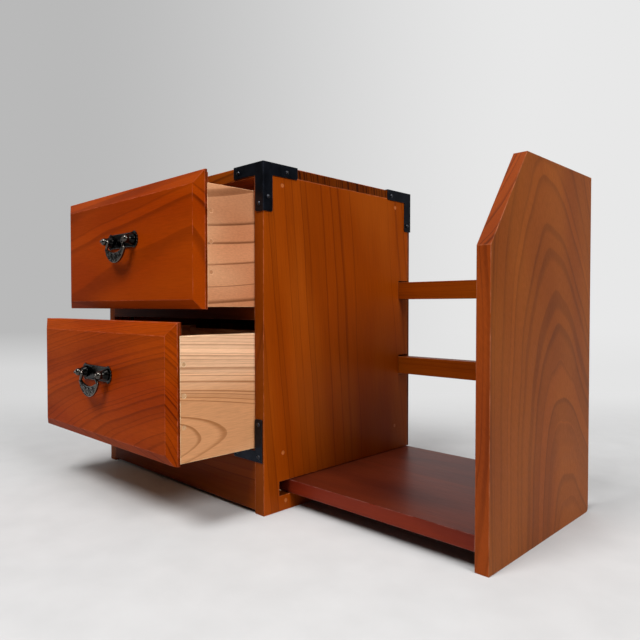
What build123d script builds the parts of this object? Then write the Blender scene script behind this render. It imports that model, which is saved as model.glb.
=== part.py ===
from build123d import *
import os

# A desk chest with two drawers and a bookend that slides out of its right side.
# Lengths are millimetres. X runs right along the front, Y to the back and Z up.
# The pieces are made with the case's middle at X = 0, its front at Y = 0 and the floor at Z = 0.
# At the end everything moves so that the origin lies on the floor under the middle of the part.

# How far the drawers stand open, and how much of the bookend's shelf is still in the case
upper_pulled = 48.0
lower_pulled = 74.0
shelf_kept_inside = 46.5

# Case boards
case_width = 276.0
case_depth = 208.0
case_height = 300.0
side_thickness = 11.5
top_thickness = 11.0
top_rabbet = 2.5
divider_thickness = 11.0
divider_tongue = 4.0
divider_setback = 10.0
floor_thickness = 11.0
plinth_height = 53.5
plinth_thickness = 11.5
plinth_lift = 3.0
back_thickness = 3.0

# Strips above the drawer sides that keep an open drawer level
kicker_width = 8.0
kicker_height = 11.0
kicker_setback = 20.0
kicker_gap = 0.5

# Battens under the case that carry the shelf board
runner_width = 15.0
runner_gap = 0.2
rear_runner_setback = 25.0

# Iron corner brackets, bent from sheet over three faces
sheet_thickness = 1.0
bracket_leg = 39.0
bracket_drop = 40.5
bracket_width = 9.6
iron_corner_round = 1.6
near_tack_inset = 6.5
far_tack_inset = 12.5
top_tack_inset = 19.0

# Flat iron plates at the plinth's corners
plate_leg = 38.5
plate_rise = 37.0
plate_width = 9.2
plate_edge_gap = 1.5
plate_top_gap = 2.0

# Dome-headed tacks of the ironwork
tack_head_radius = 1.9
tack_head_height = 1.1
tack_radius = 0.75
tack_length = 6.5
plate_tack_inset = 4.6

# Flush nails of the case, of the back panel and of the drawer boxes
nail_head_radius = 1.6
nail_head_height = 1.0
nail_radius = 0.9
case_nail_length = 18.0
case_nail_inset = 22.0
back_nail_length = 12.0
back_nail_width_shares = (-0.5, 0.0, 0.5)
drawer_nail_length = 17.0
drawer_nail_height_shares = (0.21, 0.5, 0.79)
bore_clearance = 0.05
bore_seam_angle = 50.0

# Drawer boxes and their bevelled fronts
drawer_side_gap = 0.5
drawer_seat_gap = 0.2
front_top_gap = 0.9
front_lap = 1.6
front_lip = 2.1
front_tongue = 7.1
front_tongue_lift = 0.5
bevel_width = 10.6
bevel_depth = 4.8
bevel_bottom_trim = 3.0
drawer_depth = 178.0
drawer_side_thickness = 9.0
drawer_back_drop = 4.0
bottom_thickness = 4.0
bottom_lift = 6.0
bottom_groove = 4.0

# Bail handles: scalloped plate, two posts with ball heads, and a bail hung between them
handle_rise = 6.5
handle_plate_height = 13.6
handle_plate_thickness = 1.2
handle_rim_radius = 1.4
handle_scallop_angles = (-72.0, -48.0, -24.0, 0.0, 24.0, 48.0, 72.0)
post_spacing = 41.6
post_axis_reach = 6.6
post_stem_radius = 1.5
post_flange_radius = 5.4
post_flange_height = 2.4
post_neck_radius = 3.2
post_ball_radius = 3.5
post_point_radius = 0.7
post_point_reach = 1.1
nut_radius = 3.6
nut_height = 2.4
stem_overrun = 0.8
bail_arm_radius = 1.6
bail_post_gap = 1.7
bail_arm_drop = 7.5
bail_bow = 3.0
bail_drop = 21.0
bail_crescent_height = 9.8
bail_edge_round = 0.8
bail_pin_radius = 1.2
bail_pin_gap = 0.05
bail_pin_overrun = 1.5

# Bookend: end panel with a sloped front corner, shelf board and two rails
end_thickness = 10.5
end_bracket_gap = 0.9
end_setback = 30.0
end_rear_setback = 2.0
end_slope_run = 52.0
end_slope_drop = 70.0
end_foot_round = 4.0
shelf_lift = 14.0
shelf_thickness = 11.5
slot_gap = 0.6
slot_front = 17.5
shelf_length = 240.0
rail_height = 18.0
rail_thickness = 13.0
rail_back_gap = 2.5
rail_side_gap = 0.4
notch_headroom = 1.6
upper_rail_lift = 8.2
lower_rail_lift = 50.5
tenon_length = 5.0
tenon_shoulder = 2.5
shelf_tongue_thickness = 6.0
shelf_tongue_shoulder = 9.0
peg_radius = 4.0
peg_inset = 10.0
peg_rise = 9.0
peg_depth = 8.0
peg_spread_share = 0.32

# Every cut runs this far past the faces it opens
overrun = 1.0

# Places worked out from the sizes above
half_width = case_width / 2
inner_half = half_width - side_thickness
panel_depth = case_depth - back_thickness
top_under = case_height - top_thickness
side_height = top_under + top_rabbet
floor_top = plinth_lift + plinth_height
floor_under = floor_top - floor_thickness
opening_height = (top_under - floor_top - divider_thickness) / 2
divider_under = floor_top + opening_height
divider_top = divider_under + divider_thickness
drawer_side_height = opening_height - drawer_seat_gap - kicker_gap - kicker_height
slot_low = shelf_lift - slot_gap
slot_high = shelf_lift + shelf_thickness + slot_gap
drawer_half = inner_half - drawer_side_gap
box_half = drawer_half - drawer_side_thickness
front_depth = front_lip + bevel_depth
front_bottom = -front_lap
front_top = opening_height - front_top_gap
handle_middle = opening_height / 2 + handle_rise
post_half = post_spacing / 2
post_base = -front_depth - handle_plate_thickness
bail_axis_depth = -front_depth - handle_plate_thickness - post_axis_reach
bail_top_half = post_half - post_ball_radius - bail_post_gap - bail_arm_radius
bail_half = bail_top_half + bail_bow
bracket_reaches = (bracket_leg, bracket_leg, bracket_drop)
shelf_inner = inner_half - shelf_kept_inside
end_inner = shelf_inner + shelf_length
end_back = case_depth - end_rear_setback
end_height = case_height - bracket_width - end_bracket_gap
upper_rail_middle = divider_top + upper_rail_lift + rail_height / 2
lower_rail_middle = floor_top + lower_rail_lift + rail_height / 2
rail_back = panel_depth - rail_back_gap
rail_front = rail_back - rail_thickness
peg_middle = shelf_inner + peg_inset


def board(x, y, z):
    """A rectangular board between its low and high places along X, Y and Z."""
    spans = (x, y, z)
    middle = [(low + high) / 2 for low, high in spans]
    size = [high - low for low, high in spans]
    return Pos(*middle) * Box(*size)


def turned(outline, at, axis):
    """A solid turned from (radius, height) points, standing at a point along an axis."""
    face = make_face(Plane.XZ * Polyline(*outline, close=True))
    return Plane(origin=at, z_dir=axis) * revolve(face, Axis.Z)


def facing_front(y, z):
    """A drawing plane that faces the front at a depth and height, with X to the right."""
    return Plane(origin=(0, y, z), x_dir=(1, 0, 0), z_dir=(0, -1, 0))


def rod(at, axis, radius, length):
    """A round rod that starts at a point and runs along an axis."""
    align = (Align.CENTER, Align.CENTER, Align.MIN)
    return Plane(origin=at, z_dir=axis) * Cylinder(radius, length, align=align)


def bore(at, axis, radius, length):
    """The tool of a round hole, like a rod, with its seam turned away from the seam of what fills it."""
    align = (Align.CENTER, Align.CENTER, Align.MIN)
    return Plane(origin=at, z_dir=axis) * Rot(0, 0, bore_seam_angle) * Cylinder(radius, length, align=align)


def drilled(piece, bores):
    """The piece with every bore that reaches it cut out."""
    box = piece.bounding_box()
    near = []
    for tool in bores:
        other = tool.bounding_box()
        apart = [
            low > high
            for low, high in zip(tuple(other.min) + tuple(box.min), tuple(box.max) + tuple(other.max))
        ]
        if not any(apart):
            near.append(tool)
    return piece - near if near else piece


def reverse(axis):
    """The opposite direction."""
    return tuple(-step for step in axis)


def flush_nail(place, length):
    """A nail whose head lies flush with the face at a place, with the axis pointing out."""
    at, axis = place
    head = rod(at, reverse(axis), nail_head_radius, nail_head_height)
    return head + rod(at, reverse(axis), nail_radius, length)


def flush_nail_bore(place, length):
    """The stepped hole that a flush nail fills."""
    at, axis = place
    inward = reverse(axis)
    mouth = tuple(point + overrun * step for point, step in zip(at, axis))
    head_depth = overrun + nail_head_height + bore_clearance
    head = bore(mouth, inward, nail_head_radius + bore_clearance, head_depth)
    shank = bore(mouth, inward, nail_radius + bore_clearance, overrun + length + bore_clearance)
    return head + shank


def tack(place):
    """A dome-headed tack seated on the ironwork, with the axis pointing out."""
    at, axis = place
    ball_radius = (tack_head_radius ** 2 + tack_head_height ** 2) / (2 * tack_head_height)
    ball_middle = tuple(point + (tack_head_height - ball_radius) * step for point, step in zip(at, axis))
    ball = Plane(origin=ball_middle, z_dir=axis) * Sphere(ball_radius)
    head = ball & rod(at, axis, tack_head_radius, 2 * tack_head_height)
    return head + rod(at, reverse(axis), tack_radius, tack_length)


def tack_bore(place):
    """The hole that a tack's shank fills, through the sheet and into the wood."""
    at, axis = place
    mouth = tuple(point + overrun * step for point, step in zip(at, axis))
    return bore(mouth, reverse(axis), tack_radius + bore_clearance, overrun + tack_length + bore_clearance)


def iron_leaf(reaches, width, lap, rounded):
    """A flat L of sheet iron drawn from its corner, with the outermost corners of its legs rounded.

    lap is how far it runs past its corner over the next leaf, and rounded is how many corners are round.
    """
    along, up = reaches
    outline = ((-lap, -lap), (along, -lap), (along, width), (width, width), (width, up), (-lap, up))
    leaf = make_face(Polyline(*outline, close=True))
    outermost = leaf.vertices().sort_by(lambda vertex: vertex.X + vertex.Y)[-rounded:]
    return fillet(outermost, iron_corner_round)


def corner_bracket(side, end):
    """An upper corner bracket: an L on the front or back, an L on the side and an L on the top.

    side is -1 on the left and 1 on the right, end is -1 at the front and 1 at the back.
    """
    corner = (side * half_width, 0 if end < 0 else case_depth, case_height)
    out = (side, end, 1)
    axes = range(len(corner))
    leaves = None
    for face in axes:
        first, second = [axis for axis in axes if axis != face]
        along = Vector(*[-out[axis] if axis == first else 0 for axis in axes])
        up = Vector(*[-out[axis] if axis == second else 0 for axis in axes])
        normal = Vector(*[out[axis] if axis == face else 0 for axis in axes])
        turn = along.cross(up)
        reaches = (bracket_reaches[first], bracket_reaches[second])
        leaf = iron_leaf(reaches, bracket_width, sheet_thickness, rounded=2)
        plane = Plane(origin=corner, x_dir=along, z_dir=turn)
        leg = plane * extrude(leaf, sheet_thickness * turn.dot(normal))
        leaves = leg if leaves is None else leaves + leg
    return leaves


def bracket_tack_places(side, end):
    """Where the tacks of an upper corner bracket sit: one near the end of each leg."""
    corner = (side * half_width, 0 if end < 0 else case_depth, case_height)
    out = (side, end, 1)
    close_face = 1 if end < 0 else 0
    places = []
    for face in range(len(corner)):
        for run in range(len(corner)):
            if run == face:
                continue
            inset = near_tack_inset if face == close_face else far_tack_inset
            inset = top_tack_inset if face == 2 else inset
            at = []
            for axis in range(len(corner)):
                along = bracket_reaches[axis] - inset if axis == run else bracket_width / 2
                at.append(corner[axis] + out[axis] * (sheet_thickness if axis == face else -along))
            normal = tuple(out[axis] if axis == face else 0 for axis in range(len(corner)))
            places.append((tuple(at), normal))
    return places


def plinth_plate(side):
    """A flat L-plate on the front: one leg up the side panel's edge, one along the plinth."""
    corner = (side * (half_width - plate_edge_gap), 0, floor_top - plate_top_gap - plate_width)
    leaf = iron_leaf((plate_leg, plate_rise), plate_width, 0, rounded=4)
    plane = Plane(origin=corner, x_dir=(-side, 0, 0), z_dir=(0, side, 0))
    return plane * extrude(leaf, -side * sheet_thickness)


def plinth_plate_tack_places(side):
    """Where the tacks of a plinth plate sit: at its corner and near both ends."""
    outer = side * (half_width - plate_edge_gap)
    low = floor_top - plate_top_gap - plate_width
    corner_x = outer - side * plate_width / 2
    corner_z = low + plate_width / 2
    end_x = outer - side * (plate_leg - plate_tack_inset)
    end_z = low + plate_rise - plate_tack_inset
    spots = ((corner_x, corner_z), (end_x, corner_z), (corner_x, end_z))
    return [((x, -sheet_thickness, z), (0, -1, 0)) for x, z in spots]


def case_nail_places(side):
    """Where nails go through a side panel into the kicker, the floor and the shelf runners."""
    outer = side * half_width
    axis = (side, 0, 0)
    kicker_z = top_under - kicker_height / 2
    floor_z = floor_under + floor_thickness / 2
    runner_z = (plinth_lift + shelf_lift - runner_gap) / 2
    rear = panel_depth - case_nail_inset
    runner_rear = panel_depth - rear_runner_setback + runner_width / 2
    spots = (
        (kicker_setback + nail_head_radius, kicker_z),
        (rear, kicker_z),
        (case_nail_inset, floor_z),
        (rear, floor_z),
        (slot_front + runner_width / 2, runner_z),
        (runner_rear, runner_z),
    )
    return [((outer, y, z), axis) for y, z in spots]


def back_nail_places():
    """Where nails hold the back panel to the side panels, the divider and the floor."""
    axis = (0, 1, 0)
    ends = (slot_high, lower_rail_middle, upper_rail_middle, case_height - bracket_drop)
    places = []
    for side in (-1, 1):
        x = side * (half_width - side_thickness / 2)
        for low, high in zip(ends, ends[1:]):
            places.append(((x, case_depth, (low + high) / 2), axis))
    for z in (floor_under + floor_thickness / 2, divider_under + divider_thickness / 2):
        for share in back_nail_width_shares:
            places.append(((share * inner_half, case_depth, z), axis))
    return places


def side_panel(side):
    """A side panel with a housing for the divider's tongue. The right one takes the bookend."""
    x = sorted((side * inner_half, side * half_width))
    panel = board(x, (0, panel_depth), (0, side_height))
    housing_x = sorted((side * (inner_half - overrun), side * (inner_half + divider_tongue)))
    panel -= board(housing_x, (divider_setback, panel_depth + overrun), (divider_under, divider_top))
    if side > 0:
        through = (inner_half - overrun, half_width + overrun)
        panel -= board(through, (slot_front, panel_depth + overrun), (slot_low, slot_high))
        for middle in (upper_rail_middle, lower_rail_middle):
            low = middle - rail_height / 2 - rail_side_gap
            high = middle + rail_height / 2 + notch_headroom
            panel -= board(through, (rail_front - rail_side_gap, panel_depth + overrun), (low, high))
    return panel


def top_panel():
    """The top, rabbeted over both side panels and long enough to cover the back panel."""
    top = board((-half_width, half_width), (0, case_depth), (top_under, case_height))
    for side in (-1, 1):
        x = sorted((side * inner_half, side * (half_width + overrun)))
        top -= board(x, (-overrun, panel_depth), (top_under - overrun, side_height))
    return top


def drawer_divider():
    """The board between the drawers, with tongues in the side panels."""
    divider = board((-inner_half, inner_half), (0, panel_depth), (divider_under, divider_top))
    reach = inner_half + divider_tongue
    return divider + board((-reach, reach), (divider_setback, panel_depth), (divider_under, divider_top))


def kicker(side, under):
    """A strip under a board, above the drawer side that it keeps down."""
    x = sorted((side * inner_half, side * (inner_half - kicker_width)))
    rear = rail_front - rail_side_gap
    return board(x, (kicker_setback, rear), (under - kicker_height, under))


def shelf_runner(front):
    """A batten across the case that the shelf board slides on."""
    z = (plinth_lift, shelf_lift - runner_gap)
    return board((-inner_half, inner_half), (front, front + runner_width), z)


def back_panel():
    """The thin panel over the back, which also closes the rail notches."""
    return board((-half_width, half_width), (panel_depth, case_depth), (slot_high, top_under))


def case_nodes():
    """Every piece of the case."""
    sides = (("left", -1), ("right", 1))
    ends = (("front", -1), ("rear", 1))
    tacks = []
    nails = []
    for _, side in sides:
        nails += case_nail_places(side)
        tacks += plinth_plate_tack_places(side)
        for _, end in ends:
            tacks += bracket_tack_places(side, end)
    back_nails = back_nail_places()
    bores = [tack_bore(place) for place in tacks]
    bores += [flush_nail_bore(place, case_nail_length) for place in nails]
    bores += [flush_nail_bore(place, back_nail_length) for place in back_nails]

    across = (-inner_half, inner_half)
    nodes = {
        "top_panel": top_panel(),
        "drawer_divider": drawer_divider(),
        "case_floor": board(across, (plinth_thickness, panel_depth), (floor_under, floor_top)),
        "plinth_board": board(across, (0, plinth_thickness), (plinth_lift, floor_top)),
        "back_panel": back_panel(),
        "front_shelf_runner": shelf_runner(slot_front),
        "rear_shelf_runner": shelf_runner(panel_depth - rear_runner_setback),
    }
    for name, side in sides:
        nodes[name + "_side_panel"] = side_panel(side)
        nodes["upper_" + name + "_kicker"] = kicker(side, top_under)
        nodes["lower_" + name + "_kicker"] = kicker(side, divider_under)
        nodes["lower_" + name + "_corner_plate"] = plinth_plate(side)
        for end_name, end in ends:
            nodes[end_name + "_" + name + "_corner_bracket"] = corner_bracket(side, end)
    nodes = {name: drilled(piece, bores) for name, piece in nodes.items()}
    long_nails = [flush_nail(place, case_nail_length) for place in nails]
    short_nails = [flush_nail(place, back_nail_length) for place in back_nails]
    nodes["bracket_tacks"] = Compound(children=[tack(place) for place in tacks])
    nodes["case_nails"] = Compound(children=long_nails)
    nodes["back_panel_nails"] = Compound(children=short_nails)
    return nodes


def drawer_front():
    """A bevelled front with a lip over the drawer sides' ends and a tongue between them.

    The bevel is cut all round a taller board, whose foot is then trimmed off.
    """
    foot = front_bottom - bevel_bottom_trim
    lip = board((-drawer_half, drawer_half), (-front_lip, 0), (foot, front_top))
    middle = (foot + front_top) / 2
    height = front_top - foot
    rim = facing_front(-front_lip, middle) * Rectangle(2 * drawer_half, height)
    field_size = (2 * (drawer_half - bevel_width), height - 2 * bevel_width)
    field = facing_front(-front_depth, middle) * Rectangle(*field_size)
    front = lip + loft([rim.face(), field.face()], ruled=True)
    trim_x = (-drawer_half - overrun, drawer_half + overrun)
    front -= board(trim_x, (-front_depth - overrun, overrun), (foot - overrun, front_bottom))
    tongue = board((-box_half, box_half), (0, front_tongue), (front_tongue_lift, front_top))
    groove_y = (front_tongue - bottom_groove, front_tongue + overrun)
    groove_x = (-box_half - overrun, box_half + overrun)
    groove_z = (drawer_seat_gap + bottom_lift, drawer_seat_gap + bottom_lift + bottom_thickness)
    return front + (tongue - board(groove_x, groove_y, groove_z))


def drawer_side(side):
    """A drawer side, grooved for the bottom."""
    low = drawer_seat_gap
    x = sorted((side * box_half, side * drawer_half))
    panel = board(x, (0, drawer_depth), (low, low + drawer_side_height))
    groove_x = sorted((side * (box_half - overrun), side * (box_half + bottom_groove)))
    groove_y = (front_tongue - bottom_groove, drawer_depth + overrun)
    groove_z = (low + bottom_lift, low + bottom_lift + bottom_thickness)
    return panel - board(groove_x, groove_y, groove_z)


def drawer_back():
    """The drawer's back, which stands on the bottom between the sides."""
    low = drawer_seat_gap + bottom_lift + bottom_thickness
    high = drawer_seat_gap + drawer_side_height - drawer_back_drop
    return board((-box_half, box_half), (drawer_depth - drawer_side_thickness, drawer_depth), (low, high))


def drawer_bottom():
    """The thin bottom, in the grooves of the front and the sides and under the back."""
    reach = box_half + bottom_groove
    low = drawer_seat_gap + bottom_lift
    y = (front_tongue - bottom_groove, drawer_depth)
    return board((-reach, reach), y, (low, low + bottom_thickness))


def drawer_nail_places():
    """Where nails go through the drawer sides into the front's tongue and the back."""
    places = []
    depths = (front_tongue / 2, drawer_depth - drawer_side_thickness / 2)
    low = drawer_seat_gap + bottom_lift + bottom_thickness
    span = drawer_side_height - bottom_lift - bottom_thickness - drawer_back_drop
    for side in (-1, 1):
        for y in depths:
            for share in drawer_nail_height_shares:
                places.append(((side * drawer_half, y, low + share * span), (side, 0, 0)))
    return places


def handle_plate():
    """A bar with scalloped round ends about the posts, drilled for their stems."""
    round_radius = handle_plate_height / 2
    outline = Rectangle(post_spacing, handle_plate_height)
    for side in (-1, 1):
        end = Pos(side * post_half, 0)
        outline += end * Circle(round_radius)
        for angle in handle_scallop_angles:
            turn = angle if side > 0 else angle + 180
            outline += end * Rot(0, 0, turn) * Pos(round_radius, 0) * Circle(handle_rim_radius)
        outline -= end * Circle(post_stem_radius + bore_clearance)
    plate = extrude(outline, handle_plate_thickness)
    return Pos(0, -front_depth, handle_middle) * Rot(90, 0, 0) * plate


def handle_post(side):
    """A turned post: threaded stem, flange, neck and a pointed ball head with a cross hole."""
    stem = -handle_plate_thickness - front_depth - front_tongue - nut_height - stem_overrun
    point = post_axis_reach + post_ball_radius + post_point_reach
    shaft = (
        (0, stem),
        (post_stem_radius, stem),
        (post_stem_radius, 0),
        (post_flange_radius, 0),
        (post_neck_radius, post_flange_height),
        (post_neck_radius, post_axis_reach),
        (post_point_radius, point),
        (0, point),
    )
    post = turned(shaft, (side * post_half, post_base, handle_middle), (0, -1, 0))
    ball = Plane(origin=(side * post_half, bail_axis_depth, handle_middle), z_dir=(0, -1, 0))
    post += ball * Rot(0, 0, bore_seam_angle) * Sphere(post_ball_radius)
    reach = post_ball_radius + overrun
    start = (side * post_half - reach, bail_axis_depth, handle_middle)
    return post - bore(start, (1, 0, 0), bail_pin_radius + bail_pin_gap, 2 * reach)


def post_bore(side):
    """The hole through the drawer front for a post's stem."""
    start = (side * post_half, -front_depth - overrun, handle_middle)
    length = front_depth + front_tongue + 2 * overrun
    return bore(start, (0, 1, 0), post_stem_radius + bore_clearance, length)


def handle_nut(side):
    """A hexagon nut on the stem, inside the drawer."""
    nut = extrude(RegularPolygon(nut_radius, 6) - Circle(post_stem_radius + bore_clearance), nut_height)
    return Pos(side * post_half, front_tongue + nut_height, handle_middle) * Rot(90, 0, 0) * nut


def bail():
    """A bail: a crescent grip, two bowed arms and two pins that turn in the posts. Its axis is at Z = 0."""
    outer = bail_half + bail_arm_radius
    inner = bail_half - bail_arm_radius
    low = ThreePointArc((-outer, -bail_arm_drop), (0, -bail_drop), (outer, -bail_arm_drop))
    right = Line((outer, -bail_arm_drop), (inner, -bail_arm_drop))
    grip_top = bail_crescent_height - bail_drop
    high = ThreePointArc((inner, -bail_arm_drop), (0, grip_top), (-inner, -bail_arm_drop))
    left = Line((-inner, -bail_arm_drop), (-outer, -bail_arm_drop))
    outline = make_face(low + right + high + left)
    grip = Rot(90, 0, 0) * extrude(outline, bail_arm_radius, both=True)
    long_edges = [edge for edge in grip.edges() if edge.geom_type == GeomType.CIRCLE]
    whole = fillet(long_edges, bail_edge_round)
    pin_length = post_half + bail_pin_overrun - bail_top_half
    arm_length = (bail_bow ** 2 + bail_arm_drop ** 2) ** 0.5
    for side in (-1, 1):
        foot = (side * bail_half, 0, -bail_arm_drop)
        top = (side * bail_top_half, 0, 0)
        whole += Pos(*foot) * Sphere(bail_arm_radius)
        whole += rod(foot, (-side * bail_bow, 0, bail_arm_drop), bail_arm_radius, arm_length)
        whole += Pos(*top) * Sphere(bail_arm_radius)
        whole += rod(top, (side, 0, 0), bail_pin_radius, pin_length)
    return whole


def drawer_nodes(name, seat, pulled):
    """Every piece of one drawer and its bail, standing on a seat and pulled out of the case."""
    sides = (-1, 1)
    nails = drawer_nail_places()
    bores = [flush_nail_bore(place, drawer_nail_length) for place in nails]
    stems = [post_bore(side) for side in sides]
    nodes = {
        "drawer_front": drilled(drawer_front(), bores + stems),
        "drawer_left_side": drilled(drawer_side(-1), bores),
        "drawer_right_side": drilled(drawer_side(1), bores),
        "drawer_back": drilled(drawer_back(), bores),
        "drawer_bottom": drawer_bottom(),
        "drawer_nails": Compound(children=[flush_nail(place, drawer_nail_length) for place in nails]),
        "handle_plate": handle_plate(),
        "handle_posts": Compound(children=[handle_post(side) for side in sides]),
        "handle_nuts": Compound(children=[handle_nut(side) for side in sides]),
        "bail": Pos(0, bail_axis_depth, handle_middle) * bail(),
    }
    place = Pos(0, -pulled, seat)
    return {name + "_" + part: place * piece for part, piece in nodes.items()}


def end_panel():
    """The bookend's end: sloped front corner, rounded rear foot, blind mortises for the shelf and rails."""
    outline = (
        (end_setback, 0),
        (end_back, 0),
        (end_back, end_height),
        (end_setback + end_slope_run, end_height),
        (end_setback, end_height - end_slope_drop),
    )
    face = make_face(Polyline(*outline, close=True))
    foot = face.vertices().sort_by(lambda vertex: vertex.X - vertex.Y)[-1]
    plane = Plane(origin=(end_inner, 0, 0), x_dir=(0, 1, 0), z_dir=(1, 0, 0))
    panel = plane * extrude(fillet(foot, end_foot_round), end_thickness)
    for tenon in (shelf_tongue(), rail_tenon(upper_rail_middle), rail_tenon(lower_rail_middle)):
        panel -= tenon
    return panel


def shelf_tongue():
    """The tongue on the shelf's right end."""
    x = (end_inner, end_inner + tenon_length)
    y = (end_setback + shelf_tongue_shoulder, end_back - shelf_tongue_shoulder)
    middle = shelf_lift + shelf_thickness / 2
    return board(x, y, (middle - shelf_tongue_thickness / 2, middle + shelf_tongue_thickness / 2))


def stop_peg(y):
    """A dowel in the shelf's inner end that meets the side panel when the bookend is right out."""
    top = shelf_lift + shelf_thickness
    return rod((peg_middle, y, top - peg_depth), (0, 0, 1), peg_radius, peg_depth + peg_rise)


def peg_places():
    """Where the stop pegs stand along the shelf's depth."""
    middle = (end_setback + end_back) / 2
    spread = (end_back - end_setback) * peg_spread_share
    return (middle - spread, middle + spread)


def shelf_board():
    """The shelf board, drilled for the stop pegs."""
    top = shelf_lift + shelf_thickness
    shelf = board((shelf_inner, end_inner), (end_setback, end_back), (shelf_lift, top))
    for y in peg_places():
        start = (peg_middle, y, top - peg_depth)
        shelf -= bore(start, (0, 0, 1), peg_radius + bore_clearance, peg_depth + overrun)
    return shelf + shelf_tongue()


def rail_tenon(middle):
    """The tenon on a rail's right end."""
    x = (end_inner, end_inner + tenon_length)
    y = (rail_front + tenon_shoulder, rail_back - tenon_shoulder)
    z = (middle - rail_height / 2 + tenon_shoulder, middle + rail_height / 2 - tenon_shoulder)
    return board(x, y, z)


def rail(middle):
    """A rail that slides behind the drawers."""
    z = (middle - rail_height / 2, middle + rail_height / 2)
    return board((shelf_inner, end_inner), (rail_front, rail_back), z) + rail_tenon(middle)


def bookend_nodes():
    """Every piece of the bookend."""
    return {
        "bookend_end_panel": end_panel(),
        "bookend_shelf": shelf_board(),
        "bookend_upper_rail": rail(upper_rail_middle),
        "bookend_lower_rail": rail(lower_rail_middle),
        "bookend_stop_pegs": Compound(children=[stop_peg(y) for y in peg_places()]),
    }


def part_nodes():
    """All pieces, moved so that the origin is on the floor under the middle of the part."""
    nodes = case_nodes()
    nodes.update(drawer_nodes("upper", divider_top, upper_pulled))
    nodes.update(drawer_nodes("lower", floor_top, lower_pulled))
    nodes.update(bookend_nodes())
    boxes = [piece.bounding_box() for piece in nodes.values()]
    middle_x = (min(box.min.X for box in boxes) + max(box.max.X for box in boxes)) / 2
    middle_y = (min(box.min.Y for box in boxes) + max(box.max.Y for box in boxes)) / 2
    shift = Pos(-middle_x, -middle_y, 0)
    return {name: shift * piece for name, piece in nodes.items()}, (middle_x, middle_y)


part, part_middle = part_nodes()
os.makedirs("parts", exist_ok=True)
for node, piece in part.items():
    export_step(piece, os.path.join("parts", node + ".step"))
print(len(part), "nodes; the case's front middle lies at", -part_middle[0], -part_middle[1])
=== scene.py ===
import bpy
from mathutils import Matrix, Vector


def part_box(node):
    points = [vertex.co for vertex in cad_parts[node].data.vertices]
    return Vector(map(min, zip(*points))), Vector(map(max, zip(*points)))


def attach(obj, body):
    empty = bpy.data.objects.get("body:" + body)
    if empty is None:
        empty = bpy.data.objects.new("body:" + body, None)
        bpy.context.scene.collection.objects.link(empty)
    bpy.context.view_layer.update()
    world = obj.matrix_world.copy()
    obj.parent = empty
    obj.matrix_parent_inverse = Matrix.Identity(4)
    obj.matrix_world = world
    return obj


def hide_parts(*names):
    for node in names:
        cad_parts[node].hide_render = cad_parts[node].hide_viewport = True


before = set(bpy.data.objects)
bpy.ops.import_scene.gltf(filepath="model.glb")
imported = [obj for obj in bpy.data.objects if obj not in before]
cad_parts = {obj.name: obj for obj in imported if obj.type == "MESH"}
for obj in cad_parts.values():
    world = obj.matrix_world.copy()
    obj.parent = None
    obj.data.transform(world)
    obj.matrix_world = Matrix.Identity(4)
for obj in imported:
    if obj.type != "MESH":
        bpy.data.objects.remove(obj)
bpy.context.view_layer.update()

import math
from collections import namedtuple

import bmesh
import bpy
import numpy as np
from bpy.props import FloatProperty, FloatVectorProperty, IntProperty, PointerProperty
from mathutils import Vector

bl_info = {
    "name": "Desk chest with a sliding bookend",
    "version": (1, 0, 0),
    "blender": (4, 5, 0),
    "location": "3D View > Sidebar > Desk chest",
    "description": "Finishes the desk chest in lacquered wood, black iron and dark bronze",
    "category": "Object",
}

MM = 0.001
TURN = 2 * math.pi


def linear(code):
    """A hex colour in sRGB as linear red, green and blue."""
    shares = [int(code[at:at + 2], 16) / 255 for at in (1, 3, 5)]
    return tuple(c / 12.92 if c <= 0.04045 else ((c + 0.055) / 1.055) ** 2.4 for c in shares)


def colour(label, text, code):
    """A colour setting."""
    return FloatVectorProperty(
        name=label, description=text, subtype="COLOR", min=0, max=1, default=linear(code),
    )


def length(label, text, millimetres):
    """A length setting."""
    return FloatProperty(name=label, description=text, unit="LENGTH", precision=5, default=millimetres * MM)


def share(label, text, value):
    """A setting from 0 to 1."""
    return FloatProperty(name=label, description=text, subtype="FACTOR", min=0, max=1, default=value)


class WoodSettings(bpy.types.PropertyGroup):
    """Colours and finish of the boards."""

    front_light: colour("Front light", "Pale part of a year ring on the drawer fronts", "#983a02")
    front_deep: colour("Front deep", "Redder patches of the drawer fronts", "#8b2f00")
    front_line: colour("Front line", "Dark line of a year ring on the drawer fronts", "#4f1500")
    case_light: colour("Case light", "Pale part of a year ring on the case", "#9d4708")
    case_deep: colour("Case deep", "Redder patches of the case", "#8d3900")
    case_line: colour("Case line", "Dark line of a year ring on the case", "#561a00")
    bookend_light: colour("Bookend light", "Pale part of a year ring on the bookend", "#8b4815")
    bookend_deep: colour("Bookend deep", "Redder patches of the bookend", "#824012")
    bookend_line: colour("Bookend line", "Dark line of a year ring on the bookend", "#58290c")
    shelf_light: colour("Shelf light", "Pale part of a year ring on the shelf", "#6a2812")
    shelf_deep: colour("Shelf deep", "Redder patches of the shelf", "#541c0e")
    shelf_line: colour("Shelf line", "Dark line of a year ring on the shelf", "#300e08")
    pale_light: colour("Pale light", "Pale part of a year ring on the drawer boxes", "#e8ba94")
    pale_deep: colour("Pale deep", "Heartwood of the drawer boxes", "#c48c60")
    pale_line: colour("Pale line", "Dark line of a year ring on the drawer boxes", "#9a6238")
    rosy_light: colour("Rosy light", "Pale part of a year ring on the upper drawer's sides", "#d89e74")
    rosy_deep: colour("Rosy deep", "Warmer patches of the upper drawer's sides", "#c27e56")
    rosy_line: colour("Rosy line", "Dark line of a year ring on the upper drawer's sides", "#7c4a2c")
    arris_round: length("Arris round", "Radius of the worn edges of the boards", 0.9)
    lacquer: share("Lacquer", "How much clear lacquer lies on the wood", 0.08)
    # How much the arrises are paled: partly wear and partly a painted highlight
    edge_wear_and_highlight: share("Wear", "How much the edges are rubbed pale", 0.85)


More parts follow.
